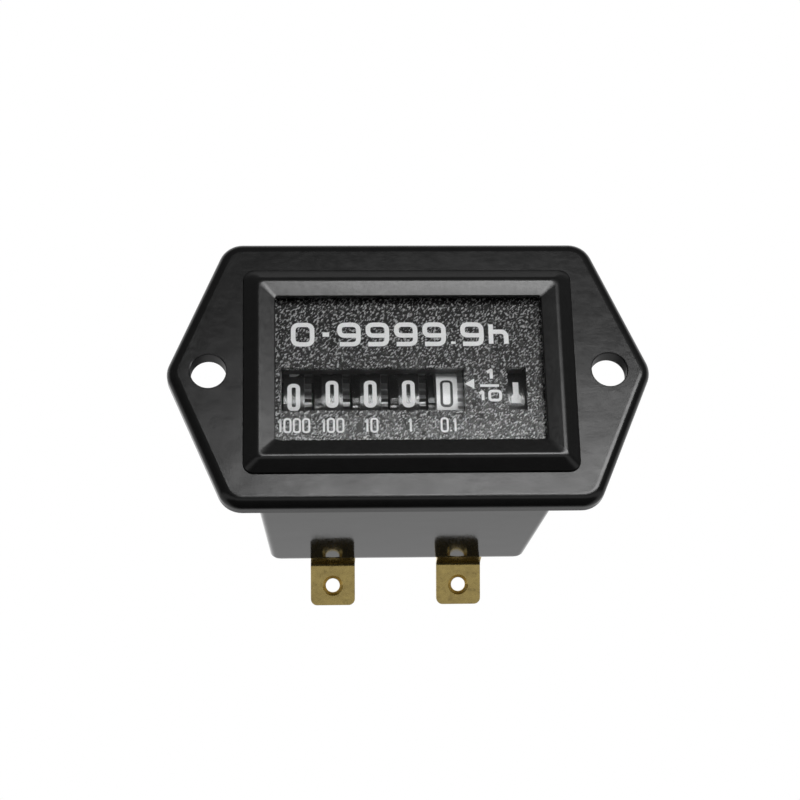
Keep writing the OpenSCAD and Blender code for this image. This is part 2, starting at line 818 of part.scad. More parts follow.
module rotor_pinion() {
    right_x = right_plate_x0 - side_play;
    color(ivory) difference() {
        union() {
            gear(rotor_teeth, fine_module, rotor_phase, idler_x, idler_x + idler_w, rotor_y, rotor_z);
            rod(idler_x + idler_w, right_x, rotor_y, rotor_z, rotor_hub_r);
        }
        rod(idler_x - cut, right_x + cut, rotor_y, rotor_z, rotor_arbor_r + running_fit);
    }
}

module rotor_magnet() {
    color([0.35, 0.35, 0.37]) difference() {
        rod(magnet_x, magnet_x + magnet_l, rotor_y, rotor_z, magnet_r);
        rod(magnet_x - cut, magnet_x + magnet_l + cut, rotor_y, rotor_z, rotor_hub_r);
    }
}

// One pole of the stator: an arm from the rotor's ring to a pad under the coil's core
module stator_pole(side) {
    half_pad = pad_w / 2;
    translate([0, rotor_y, rotor_z]) across(stator_x, stator_x + stator_t) polygon([
        [-stator_hole_r / 2, side * (stator_hole_r + pole_root)],
        [stator_hole_r + pole_split, side * stator_hole_r / 3],
        [coil_reach - bobbin_flange_r - coil_clear, side * (pad_offset - half_pad)],
        [coil_reach + half_pad, side * (pad_offset - half_pad)],
        [coil_reach + half_pad, side * (pad_offset + half_pad)],
        [coil_reach - half_pad, side * (pad_offset + half_pad)]
    ]);
}

module stator_plate() {
    color(steel) difference() {
        union() {
            rod(stator_x, stator_x + stator_t, rotor_y, rotor_z, stator_r);
            stator_pole(-1);
            stator_pole(1);
        }
        rod(stator_x - cut, stator_x + stator_t + cut, rotor_y, rotor_z, stator_hole_r);
        motor_screw_holes();
    }
}

module motor_screw_holes() {
    for (side = [-1, 1])
        rod(core_x - cut, stator_x + stator_t + cut, coil_y, rotor_z + side * pad_offset, screw_r);
}

module coil_core() {
    half_l = pad_offset + pad_w / 2;
    color(steel) difference() {
        box(
            [core_x, coil_y - core_w / 2, rotor_z - half_l],
            [stator_x, coil_y + core_w / 2, rotor_z + half_l]
        );
        motor_screw_holes();
    }
}

module coil_bobbin() {
    color([0.16, 0.22, 0.20]) difference() {
        union() {
            translate([coil_x, coil_y, rotor_z - bobbin_l / 2]) cylinder(h = bobbin_l, r = bobbin_r);
            for (z = [-bobbin_l / 2, bobbin_l / 2 - bobbin_flange_t])
                translate([coil_x, coil_y, rotor_z + z])
                    cylinder(h = bobbin_flange_t, r = bobbin_flange_r);
            for (side = [-1, 1])
                translate([coil_x + side * bobbin_r, coil_pin_y, coil_pin_z]) rotate([-90, 0, 0])
                    cylinder(h = board_front_y - coil_pin_y, r = coil_pin_r);
        }
        box(
            [core_x - seat_play, coil_y - core_w / 2 - seat_play, rotor_z - bobbin_l],
            [stator_x + seat_play, coil_y + core_w / 2 + seat_play, rotor_z + bobbin_l]
        );
    }
}

module coil_winding() {
    length = bobbin_l - 2 * bobbin_flange_t;
    color([0.66, 0.36, 0.18]) translate([coil_x, coil_y, rotor_z - length / 2]) difference() {
        cylinder(h = length, r = bobbin_flange_r - winding_inset);
        translate([0, 0, -cut]) cylinder(h = length + 2 * cut, r = bobbin_r);
    }
}

module stator_screws() {
    color(steel)
        for (side = [-1, 1])
            difference() {
                union() {
                    rod(core_x - screw_head_t, core_x, coil_y, rotor_z + side * pad_offset, screw_head_r);
                    rod(core_x - screw_head_t, right_plate_x1, coil_y, rotor_z + side * pad_offset, screw_r);
                }
                translate([core_x - screw_head_t, coil_y, rotor_z + side * pad_offset])
                    cube([screw_head_t, screw_slot_w, 3 * screw_head_r], center = true);
            }
}

// Circuit board

module circuit_board() {
    color([0.12, 0.36, 0.20])
        box([-board_w / 2, board_front_y, -board_h / 2], [board_w / 2, board_back_y, board_h / 2]);
}

module driver_chip() {
    color(black)
        box(
            [chip_x, board_front_y - chip_t, chip_z],
            [chip_x + chip_w, board_front_y - chip_lift, chip_z + chip_w]
        );
    color(steel)
        for (i = [0 : chip_leads - 1])
            for (x = [chip_x - lead_w, chip_x + chip_w])
                let (z = chip_z + (i + 0.5) * lead_pitch - lead_w / 2)
                box([x, board_front_y - chip_t / 2, z], [x + lead_w, board_front_y, z + lead_w]);
}

// A round part with a wire at each end, lying across the board
module axial_part(x, z, r, length) {
    y = board_front_y - r - lead_w;
    rod(x - length / 2, x + length / 2, y, z, r);
    rod(x - length / 2 - lead_reach, x + length / 2 + lead_reach, y, z, lead_r);
    for (side = [-1, 1])
        translate([x + side * (length / 2 + lead_reach - lead_r), y, z]) rotate([-90, 0, 0])
            cylinder(h = board_front_y - y, r = lead_r);
}

module crystal_can() {
    color(steel) axial_part(chip_x + chip_w / 2, chip_z - crystal_drop, crystal_r, crystal_l);
}

module capacitor() {
    color([0.18, 0.20, 0.35])
        translate([capacitor_x, board_front_y - capacitor_l, capacitor_z]) rotate([-90, 0, 0])
            cylinder(h = capacitor_l, r = capacitor_r);
}

module resistor() {
    color([0.76, 0.64, 0.46]) axial_part(resistor_x, resistor_z, resistor_r, resistor_l);
}

module diode() {
    color([0.2, 0.2, 0.2]) axial_part(resistor_x, resistor_z - diode_drop, diode_r, diode_l);
}

front_flange();
window_frame();
lens();
dial_plate();
rear_case();
terminal_left();
terminal_right();
movement_frame();
number_shaft();
pinion_shaft();
thousands_wheel();
hundreds_wheel();
tens_wheel();
units_wheel();
tenths_wheel();
thousands_pinion();
hundreds_pinion();
tens_pinion();
units_pinion();
drive_gear();
run_indicator();
idler_arbor();
idler_gear();
rotor_arbor();
rotor_pinion();
rotor_magnet();
stator_plate();
coil_core();
coil_bobbin();
coil_winding();
stator_screws();
circuit_board();
driver_chip();
crystal_can();
capacitor();
resistor();
diode();
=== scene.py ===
import math

import bmesh
import bpy
from mathutils import Matrix, Vector


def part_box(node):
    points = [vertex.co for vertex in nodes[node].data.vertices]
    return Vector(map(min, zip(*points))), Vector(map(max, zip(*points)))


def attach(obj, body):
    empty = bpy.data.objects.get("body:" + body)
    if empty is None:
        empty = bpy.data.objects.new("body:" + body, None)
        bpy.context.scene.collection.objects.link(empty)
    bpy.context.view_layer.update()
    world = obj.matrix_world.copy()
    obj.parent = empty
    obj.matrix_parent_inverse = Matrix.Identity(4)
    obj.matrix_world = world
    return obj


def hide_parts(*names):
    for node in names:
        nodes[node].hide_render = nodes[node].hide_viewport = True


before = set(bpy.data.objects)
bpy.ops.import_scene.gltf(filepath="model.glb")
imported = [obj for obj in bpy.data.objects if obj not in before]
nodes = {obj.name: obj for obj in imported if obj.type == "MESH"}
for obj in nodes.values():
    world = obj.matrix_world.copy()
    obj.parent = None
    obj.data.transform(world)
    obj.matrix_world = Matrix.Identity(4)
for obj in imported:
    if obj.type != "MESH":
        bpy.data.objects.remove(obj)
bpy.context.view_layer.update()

MM = 0.001


# Sizes read from the frame

dial_low, dial_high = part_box("dial_plate")
DIAL_FRONT = dial_low.y
WHEELS = ["thousands_wheel", "hundreds_wheel", "tens_wheel", "units_wheel", "tenths_wheel"]
PINIONS = ["thousands_pinion", "hundreds_pinion", "tens_pinion", "units_pinion"]
shaft_low, shaft_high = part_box("number_shaft")
AXIS_Y = (shaft_low.y + shaft_high.y) / 2
AXIS_Z = (shaft_low.z + shaft_high.z) / 2
tenths_low, tenths_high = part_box("tenths_wheel")
RIM_R = (tenths_high.z - tenths_low.z) / 2
RIM_W = 2.66 * MM
RIM_IN = 1.095 * MM
DRUM_BAND_IN = 1.7 * MM
DRUM_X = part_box("run_indicator")[1].x - DRUM_BAND_IN


def wheel_middle(name):
    """Middle of a number rim across the face: the rim is RIM_IN in from the wheel's right end."""
    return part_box(name)[1].x - RIM_IN - RIM_W / 2


# Camera, fitted to the photograph

FRAME_PX = 800
FOCAL_PX = 2185.97
CENTRE_PX = Vector((409.85, 370.06))
PITCH = math.radians(22.687)
YAW = math.radians(-3.577)
ROLL = math.radians(1.623)
EYE_DISTANCE = 276.05 * MM
AIM = Vector((0, -2.6 * MM, 0))
SENSOR = 36
CLIP_START = 10 * MM


def make_camera():
    level_right = Vector((math.cos(YAW), math.sin(YAW), 0))
    level_ahead = Vector((-math.sin(YAW), math.cos(YAW), 0))
    ahead = math.cos(PITCH) * level_ahead + math.sin(PITCH) * Vector((0, 0, 1))
    level_up = math.cos(PITCH) * Vector((0, 0, 1)) - math.sin(PITCH) * level_ahead
    right = math.cos(ROLL) * level_right - math.sin(ROLL) * level_up
    up = math.sin(ROLL) * level_right + math.cos(ROLL) * level_up
    data = bpy.data.cameras.new("camera")
    data.sensor_width = SENSOR
    data.lens = FOCAL_PX / FRAME_PX * SENSOR
    data.shift_x = 0.5 - CENTRE_PX.x / FRAME_PX
    data.shift_y = CENTRE_PX.y / FRAME_PX - 0.5
    data.clip_start = CLIP_START
    camera = bpy.data.objects.new("camera", data)
    turn = Matrix((right, up, -ahead)).transposed().to_4x4()
    camera.matrix_world = Matrix.Translation(AIM - EYE_DISTANCE * ahead) @ turn
    bpy.context.scene.collection.objects.link(camera)
    bpy.context.scene.camera = camera


# Materials

def add_node(tree, kind, links=None, **settings):
    """Adds a shader node; links gives each input a value or another node's output."""
    made = tree.nodes.new("ShaderNode" + kind)
    for key, value in settings.items():
        setattr(made, key, value)
    for socket, value in (links or {}).items():
        if isinstance(value, bpy.types.NodeSocket):
            tree.links.new(value, made.inputs[socket])
        else:
            made.inputs[socket].default_value = value
    return made


def map_range(tree, value, low, high, start, end):
    """Moves a value's range from start and end to low and high."""
    links = {"Value": value, "From Min": start, "From Max": end, "To Min": low, "To Max": high}
    return add_node(tree, "MapRange", links).outputs[0]


def combine(tree, operation, one, two):
    return add_node(tree, "Math", {0: one, 1: two}, operation=operation).outputs[0]


class Finish:
    """A Principled material, with short ways to feed its sockets from procedural nodes."""

    def __init__(self, name, **sockets):
        self.material = bpy.data.materials.new(name)
        self.material.use_nodes = True
        self.tree = self.material.node_tree
        self.shader = self.tree.nodes["Principled BSDF"]
        self.normal = None
        for key, value in sockets.items():
            self.shader.inputs[key.replace("_", " ")].default_value = value

    def node(self, kind, links=None, **settings):
        return add_node(self.tree, kind, links, **settings)

    def place(self, stretch=(1, 1, 1), turn=(0, 0, 0)):
        """Object coordinates, stretched along axes that are turned first."""
        coords = self.node("TexCoord").outputs["Object"]
        links = {"Vector": coords, "Rotation": turn, "Scale": stretch}
        return self.node("Mapping", links, vector_type="TEXTURE").outputs[0]

    def noise(self, size, detail=3, rough=0.55, **place):
        """Noise from 0 to 1, with features about size millimetres wide."""
        links = {"Vector": self.place(**place), "Scale": 1 / (size * MM)}
        links |= {"Detail": detail, "Roughness": rough}
        return self.node("TexNoise", links).outputs["Fac"]

    def along(self, axis):
        """The X, Y or Z place, in metres."""
        return self.node("SeparateXYZ", {0: self.place()}).outputs[axis]

    def spread(self, value, low, high, start=0.3, end=0.7):
        return map_range(self.tree, value, low, high, start, end)

    def blend(self, factor, one, two):
        """Colour one at factor 0, colour two at factor 1."""
        links = {"Factor": factor, 6: one, 7: two}
        return self.node("Mix", links, data_type="RGBA").outputs[2]

    def math(self, operation, one, two=0.0):
        return combine(self.tree, operation, one, two)

    def feed(self, socket, value):
        self.tree.links.new(value, self.shader.inputs[socket])

    def bump(self, height, depth, strength=1.0):
        """Adds relief of a depth in millimetres to what is there."""
        links = {"Height": height, "Distance": depth * MM, "Strength": strength}
        if self.normal is not None:
            links["Normal"] = self.normal
        self.normal = self.node("Bump", links).outputs[0]
        self.feed("Normal", self.normal)


def grey(value):
    return (value, value, value, 1)


HOLE_X = 25.4 * MM
HOLE_R = 2.25 * MM
HOLE_BLEND_START = 0.01 * MM
HOLE_BLEND_END = 0.05 * MM
HOLE_ROUGHNESS = 0.5


def near_holes(made):
    """1 inside the panel screw holes, 0 on the flange's face."""
    x = made.math("SUBTRACT", made.math("ABSOLUTE", made.along("X")), HOLE_X)
    z = made.along("Z")
    square = made.math("ADD", made.math("MULTIPLY", x, x), made.math("MULTIPLY", z, z))
    away = made.math("SQRT", square)
    return made.spread(away, 1, 0, HOLE_R + HOLE_BLEND_START, HOLE_R + HOLE_BLEND_END)


def flange_plastic():
    made = Finish("flange_plastic", Specular_IOR_Level=0.36)
    made.feed("Base Color", made.blend(made.noise(1.5), grey(0.005), grey(0.009)))
    satin = made.spread(made.noise(0.6, stretch=(2, 1, 1)), 0.19, 0.24)
    in_holes = made.math("MULTIPLY", near_holes(made), HOLE_ROUGHNESS)
    made.feed("Roughness", made.math("MAXIMUM", satin, in_holes))
    made.bump(made.noise(8, detail=2), 0.07)
    made.bump(made.noise(0.9, detail=3, stretch=(1.8, 1, 1)), 0.005)
    made.bump(made.noise(0.16, detail=2), 0.004)
    return made.material


def frame_plastic():
    made = Finish("frame_plastic", Specular_IOR_Level=0.4)
    made.feed("Base Color", made.blend(made.noise(1.2), grey(0.006), grey(0.01)))
    made.feed("Roughness", made.spread(made.noise(0.4), 0.21, 0.27))
    made.bump(made.noise(5, detail=2), 0.04)
    made.bump(made.noise(0.15, detail=2), 0.003)
    return made.material


def case_plastic():
    made = Finish("case_plastic", Specular_IOR_Level=0.5)
    made.feed("Base Color", made.blend(made.noise(2), grey(0.008), grey(0.013)))
    made.feed("Roughness", made.spread(made.noise(0.7), 0.06, 0.1))
    made.bump(made.noise(9, detail=2), 0.03)
    made.bump(made.noise(0.2, detail=2), 0.001)
    return made.material


def dial_black():
    made = Finish("dial_black", Specular_IOR_Level=0.5)
    slanted = {"stretch": (1, 1, 1.9), "turn": (0, math.radians(40), 0)}
    grain = made.noise(0.2, detail=1, rough=0.5, **slanted)
    # The grain's crests are painted light grey: painted glints of light catching the grain, with only a low
    # bump under them.
    painted_glint = made.spread(grain, 0, 1, 0.53, 0.66)
    made.feed("Base Color", made.blend(painted_glint, grey(0.001), grey(0.4)))
    made.feed("Roughness", made.spread(made.noise(0.2), 0.1, 0.16))
    made.bump(grain, 0.012)
    return made.material


def lens_clear():
    made = Finish("lens_clear", Base_Color=(0.97, 0.98, 0.98, 1), Transmission_Weight=1.0, IOR=1.49)
    made.feed("Roughness", made.spread(made.noise(6), 0.0, 0.015))
    path = made.node("LightPath")
    passing = made.math("MAXIMUM", path.outputs["Is Shadow Ray"], path.outputs["Is Diffuse Ray"])
    clear = made.node("BsdfTransparent", {"Color": grey(0.94)})
    links = {0: passing, 1: made.shader.outputs[0], 2: clear.outputs[0]}
    mixed = made.node("MixShader", links)
    output = made.tree.nodes["Material Output"]
    made.tree.links.new(mixed.outputs[0], output.inputs["Surface"])
    return made.material


WHEEL_PITCH = 4.85 * MM
GEAR_W = 0.95 * MM
ZONE_PLAY = 0.01 * MM


def wheel_plastic(name, dark, light, rough, zone, zone_colour_and_highlight):
    """Moulded wheels, with another colour where zone gives 1 along the shaft; on the black wheels that
    colour is a lighter grey, a painted highlight of the gear teeth.
    """
    made = Finish(name, Specular_IOR_Level=0.5)
    mottled = made.blend(made.noise(0.9), dark, light)
    made.feed("Base Color", made.blend(zone(made), mottled, zone_colour_and_highlight))
    made.feed("Roughness", made.spread(made.noise(0.5), rough - 0.04, rough + 0.04))
    made.bump(made.noise(0.25), 0.004, 0.4)
    return made.material


def gear_zone(made):
    """1 on the gear rims, which follow each number rim at the wheels' pitch, and where the black wheels get
    a painted highlight of their teeth.
    """
    start = wheel_middle(WHEELS[0]) + RIM_W / 2
    turns = made.math("DIVIDE", made.math("SUBTRACT", made.along("X"), start), WHEEL_PITCH)
    return made.math("LESS_THAN", made.math("FRACT", turns), GEAR_W / WHEEL_PITCH)


def carry_zone(made):
    """1 left of the tenths rim, on its carry side."""
    return made.math("LESS_THAN", made.along("X"), wheel_middle(WHEELS[4]) - RIM_W / 2 + ZONE_PLAY)


def ink(name, dark, light):
    made = Finish(name, Specular_IOR_Level=0.4)
    made.feed("Base Color", made.blend(made.noise(0.18), dark, light))
    made.feed("Roughness", made.spread(made.noise(0.3), 0.42, 0.58))
    made.bump(made.noise(0.1), 0.006, 0.5)
    return made.material


def terminal_brass():
    made = Finish("terminal_brass", Metallic=1.0)
    patina = made.spread(made.noise(2.2, detail=3), 0, 1, 0.3, 0.75)
    stain = made.spread(made.noise(0.7, detail=4), 0, 0.7, 0.55, 0.8)
    bright = (0.78, 0.6, 0.22, 1)
    dull = (0.62, 0.47, 0.18, 1)
    brown = (0.28, 0.2, 0.08, 1)
    made.feed("Base Color", made.blend(stain, made.blend(patina, bright, dull), brown))
    rolled = made.noise(0.12, detail=2, stretch=(1, 9, 9))
    made.feed("Roughness", made.spread(made.noise(0.8), 0.22, 0.32))
    made.bump(rolled, 0.003, 0.5)
    made.bump(made.noise(0.9), 0.02, 0.4)
    return made.material


def metal(name, dark, light, rough, brush=(1, 1, 1)):
    made = Finish(name, Metallic=1.0)
    made.feed("Base Color", made.blend(made.noise(0.8, detail=4), dark, light))
    made.feed("Roughness", made.spread(made.noise(0.5), rough - 0.06, rough + 0.06))
    made.bump(made.noise(0.1, detail=2, stretch=brush), 0.004, 0.5)
    return made.material


def plastic(name, dark, light, rough, sheen_size=0.8):
    made = Finish(name, Specular_IOR_Level=0.5)
    made.feed("Base Color", made.blend(made.noise(sheen_size), dark, light))
    made.feed("Roughness", made.spread(made.noise(0.4), rough - 0.05, rough + 0.05))
    made.bump(made.noise(0.18), 0.005, 0.5)
    return made.material


def dress(material, *names):
    """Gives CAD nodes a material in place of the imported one."""
    for name in names:
        nodes[name].data.materials.clear()
        nodes[name].data.materials.append(material)


def dress_nodes():
    dress(case_plastic(), "rear_case")
    dress(lens_clear(), "lens")
    # The lighter grey 0.06 on the black wheels' gear rims is a painted highlight of the gear teeth.
    black = wheel_plastic("wheel_black", grey(0.006), grey(0.012), 0.16, gear_zone, grey(0.06))
    dress(black, *WHEELS[:4])
    dress(wheel_plastic("wheel_white", grey(0.8), grey(0.88), 0.3, carry_zone, grey(0.01)), "tenths_wheel")
    dress(plastic("drum_black", grey(0.006), grey(0.012), 0.2), "run_indicator")
    dress(terminal_brass(), "terminal_left", "terminal_right")
    ivory = plastic("gear_plastic", (0.55, 0.52, 0.42, 1), (0.66, 0.63, 0.53, 1), 0.38)
    dress(ivory, *PINIONS, "drive_gear", "idler_gear", "rotor_pinion")
    dress(plastic("movement_plastic", grey(0.02), grey(0.035), 0.45), "movement_frame")
    steel = metal("shaft_steel", grey(0.42), grey(0.58), 0.26, (9, 1, 1))
    dress(steel, "number_shaft", "pinion_shaft", "idler_arbor", "rotor_arbor", "stator_screws")
    dress(metal("stator_steel", grey(0.33), grey(0.46), 0.36, (1, 6, 1)), "stator_plate", "coil_core")
    dress(plastic("magnet_grey", grey(0.05), grey(0.09), 0.55, 0.2), "rotor_magnet")
    dress(plastic("bobbin_plastic", (0.02, 0.05, 0.04, 1), (0.04, 0.08, 0.07, 1), 0.4), "coil_bobbin")
    copper = metal("winding_copper", (0.42, 0.16, 0.06, 1), (0.62, 0.27, 0.11, 1), 0.3, (1, 1, 0.4))
    dress(copper, "coil_winding")
    dress(plastic("board_green", (0.01, 0.09, 0.03, 1), (0.02, 0.15, 0.05, 1), 0.3, 2.5), "circuit_board")
    dress(plastic("chip_black", grey(0.012), grey(0.022), 0.5, 0.2), "driver_chip")
    dress(metal("can_metal", grey(0.5), grey(0.66), 0.28, (8, 1, 1)), "crystal_can")
    dress(plastic("capacitor_sleeve", (0.01, 0.02, 0.07, 1), (0.02, 0.03, 0.1, 1), 0.25), "capacitor")
    dress(plastic("resistor_body", (0.42, 0.3, 0.16, 1), (0.56, 0.42, 0.25, 1), 0.35), "resistor")
    dress(plastic("diode_body", grey(0.015), grey(0.03), 0.22), "diode")


# Flange, window frame and hoods

frame_low, frame_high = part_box("window_frame")
flange_low, flange_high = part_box("front_flange")
lens_low, lens_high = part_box("lens")
case_low, case_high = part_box("rear_case")
FRAME_W = frame_high.x - frame_low.x
FRAME_H = frame_high.z - frame_low.z
FRAME_R = 1.4 * MM
LENS_W = lens_high.x - lens_low.x
LENS_H = lens_high.z - lens_low.z
LENS_R = 0.6 * MM
LENS_BORDER = 1.25 * MM
DIAL_LEDGE = 0.9 * MM
PLAY = 0.05 * MM
CASE_SEAT = 0.4 * MM
CASE_SEAT_R = 1.05 * MM
SMOOTH_BELOW = 38


def finish_piece(mesh, name, material, body):
    """Turns a built mesh into a piece that rides on a body."""
    bmesh.ops.recalc_face_normals(mesh, faces=mesh.faces)
    data = bpy.data.meshes.new(name)
    mesh.to_mesh(data)
    mesh.free()
    data.materials.append(material)
    piece = bpy.data.objects.new(name, data)
    bpy.context.scene.collection.objects.link(piece)
    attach(piece, body)
    return piece


def soften(mesh, flat_loops=()):
    """Shades a mesh smooth over edges flatter than SMOOTH_BELOW degrees, but not over the given loops."""
    for face in mesh.faces:
        face.smooth = True
    for edge in mesh.edges:
        edge.smooth = edge.calc_face_angle(0) < math.radians(SMOOTH_BELOW)
    for loop in flat_loops:
        for i in range(len(loop)):
            mesh.edges.get((loop[i - 1], loop[i])).smooth = False


def weigh_normals(piece):
    """Keeps the shading of large flat faces flat."""
    normals = piece.modifiers.new("normals", "WEIGHTED_NORMAL")
    normals.keep_sharp = True


def bend(start, corner, end, steps):
    """Points of a soft turn from start to end, drawn towards a corner."""
    shares = [k / steps for k in range(steps + 1)]
    return [(1 - t) ** 2 * start + 2 * t * (1 - t) * corner + t * t * end for t in shares]


def arc(x, z, r, start, end, steps=8):
    """Points of an arc across the face, with its angles in degrees."""
    angles = [math.radians(start + (end - start) * k / steps) for k in range(steps + 1)]
    return [Vector((x + r * math.cos(a), z + r * math.sin(a))) for a in angles]


def rounded_rect(w, h, r):
    x = w / 2 - r
    z = h / 2 - r
    corners = ((x, z), (-x, z), (-x, -z), (x, -z))
    return [p for k, (cx, cz) in enumerate(corners) for p in arc(cx, cz, r, 90 * k, 90 * k + 90)]


def add_ring(mesh, outline, y):
    return [mesh.verts.new((p.x, y, p.y)) for p in outline]


def join_rings(mesh, rings, closed=False):
    """Faces from each ring of points to the next."""
    for a, b in zip(rings, rings[1:] + rings[:1] if closed else rings[1:]):
        for i in range(len(a)):
            j = (i + 1) % len(a)
            mesh.faces.new((a[i], a[j], b[j], b[i]))


def fill_between(mesh, loops):
    """Fills a flat face inside the first loop and outside the others."""
    edges = [mesh.edges.get((loop[i - 1], loop[i])) for loop in loops for i in range(len(loop))]
    bmesh.ops.triangle_fill(mesh, use_beauty=True, use_dissolve=False, edges=edges)


def eased(before, corner, after, share_before, share_after, steps=4):
    """Rows of a soft turn at a profile's corner, over a share of the way to its neighbours."""
    start = corner + (before - corner) * share_before
    end = corner + (after - corner) * share_after
    return bend(start, corner, end, steps)


SKIRT_FOOT = 0.1 * MM
RIDGE_IN = 1.75 * MM
RIDGE_R = 0.6 * MM
OPENING_R = 0.4 * MM
FRAME_STEP = 0.35 * MM
FACE_DROP = 0.4 * MM
# Shares of the way to the neighbours over which the ridge and the opening's edge turn
RIDGE_TURN = (0.22, 0.19)
OPENING_TURN = (0.07, 0.2)


def build_frame(material):
    """The window frame as rings of width, height, corner radius and depth."""
    foot_y = flange_low.y - FRAME_STEP
    seat = Vector((FRAME_W, FRAME_H, FRAME_R, frame_high.y))
    step = Vector((FRAME_W, FRAME_H, FRAME_R, foot_y + SKIRT_FOOT))
    foot = Vector((FRAME_W - 2 * SKIRT_FOOT, FRAME_H - 2 * SKIRT_FOOT, FRAME_R - SKIRT_FOOT, foot_y))
    ridge = Vector((FRAME_W - 2 * RIDGE_IN, FRAME_H - 2 * RIDGE_IN, RIDGE_R, frame_low.y))
    opening_w = LENS_W - 2 * LENS_BORDER
    opening_h = LENS_H - 2 * LENS_BORDER
    opening = Vector((opening_w, opening_h, OPENING_R, frame_low.y + FACE_DROP))
    lip = Vector((opening_w, opening_h, OPENING_R, lens_low.y))
    lens_seat = Vector((LENS_W + 2 * PLAY, LENS_H + 2 * PLAY, LENS_R, lens_low.y))
    lens_back = Vector((LENS_W + 2 * PLAY, LENS_H + 2 * PLAY, LENS_R, frame_high.y))
    profile = [seat, step, foot] + eased(foot, ridge, opening, *RIDGE_TURN)
    profile += eased(ridge, opening, lip, *OPENING_TURN) + [lip, lens_seat, lens_back]
    mesh = bmesh.new()
    rings = [add_ring(mesh, rounded_rect(w, h, r), y) for w, h, r, y in profile]
    join_rings(mesh, rings, closed=True)
    soften(mesh)
    piece = finish_piece(mesh, "window_frame_moulding", material, "housing")
    weigh_normals(piece)
    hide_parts("window_frame")


FLANGE_APEX_W = 61.8 * MM
FLANGE_TOP_W = 46.4 * MM
FLANGE_CORNER_R = 3.2 * MM
FLANGE_EDGE_R = 1.4 * MM
HOLE_EDGE = 0.15 * MM
HOLE_EDGE_SHARE = 0.3
HOLE_POINTS = 48


def flange_outline(inset):
    """The six-sided outline, drawn in by an inset."""
    height = flange_high.z - flange_low.z
    slope = math.atan2(height / 2, (FLANGE_APEX_W - FLANGE_TOP_W) / 2)
    z = height / 2 - FLANGE_CORNER_R
    x = FLANGE_TOP_W / 2 - FLANGE_CORNER_R * math.tan(slope / 2)
    apex = FLANGE_APEX_W / 2 - FLANGE_CORNER_R / math.sin(slope)
    r = FLANGE_CORNER_R - inset
    turn = 90 - math.degrees(slope)
    right = arc(apex, 0, r, -turn, turn) + arc(x, z, r, turn, 90)
    left = arc(-x, z, r, 90, 180 - turn) + arc(-apex, 0, r, 180 - turn, 180 + turn)
    return right + left + arc(-x, -z, r, 180 + turn, 270) + arc(x, -z, r, 270, 360 - turn)


def flange_rim(mesh):
    """The outer edge, from the back round to the front face."""
    front, back = flange_low.y, flange_high.y
    rows = [(0, back)]
    steps = 10
    for k in range(steps + 1):
        a = math.radians(90 * k / steps)
        rows.append((FLANGE_EDGE_R * (1 - math.cos(a)), front + FLANGE_EDGE_R * (1 - math.sin(a))))
    rings = [add_ring(mesh, flange_outline(inset), y) for inset, y in rows]
    join_rings(mesh, rings)
    return rings


def screw_hole(mesh, side):
    """A screw hole with a small edge, from front to back."""
    front, back = flange_low.y, flange_high.y
    soft = HOLE_EDGE * HOLE_EDGE_SHARE
    rows = ((HOLE_R + HOLE_EDGE, front), (HOLE_R + soft, front + soft), (HOLE_R, front + HOLE_EDGE),
            (HOLE_R, back - HOLE_EDGE), (HOLE_R + HOLE_EDGE, back))
    last = 360 - 360 / HOLE_POINTS
    rings = [add_ring(mesh, arc(side * HOLE_X, 0, r, 0, last, HOLE_POINTS - 1), y) for r, y in rows]
    join_rings(mesh, rings)
    return rings


def flange_opening(mesh):
    """The seats of the frame, the lens and dial, and the case, from front to back."""
    seat = (FRAME_W + 2 * PLAY, FRAME_H + 2 * PLAY, FRAME_R + PLAY)
    lens_seat = (LENS_W + 2 * PLAY, LENS_H + 2 * PLAY, LENS_R)
    passage = (LENS_W - 2 * DIAL_LEDGE, LENS_H - 2 * DIAL_LEDGE, LENS_R / 2)
    case_seat = (case_high.x - case_low.x + 2 * PLAY, case_high.z - case_low.z + 2 * PLAY, CASE_SEAT_R)
    back = flange_high.y
    rows = ((seat, flange_low.y), (seat, frame_high.y),
            (lens_seat, frame_high.y), (lens_seat, dial_high.y),
            (passage, dial_high.y), (passage, back - CASE_SEAT),
            (case_seat, back - CASE_SEAT), (case_seat, back))
    rings = [add_ring(mesh, rounded_rect(*size), y) for size, y in rows]
    join_rings(mesh, rings)
    return rings


def build_flange(material):
    mesh = bmesh.new()
    rim = flange_rim(mesh)
    holes = [screw_hole(mesh, side) for side in (-1, 1)]
    opening = flange_opening(mesh)
    front = [rim[-1], opening[0], holes[0][0], holes[1][0]]
    back = [rim[0], opening[-1], holes[0][-1], holes[1][-1]]
    fill_between(mesh, front)
    fill_between(mesh, back)
    soften(mesh, front + back)
    piece = finish_piece(mesh, "flange_moulding", material, "housing")
    weigh_normals(piece)
    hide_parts("front_flange")


HOOD_T = 0.5 * MM
HOOD_GAP = 0.35 * MM
HOOD_ROOT = 0.3 * MM
HOOD_EDGE = 0.08 * MM
WINDOW_HALF_H = 2.9 * MM
RUN_HOOD_HALF_W = 0.8 * MM


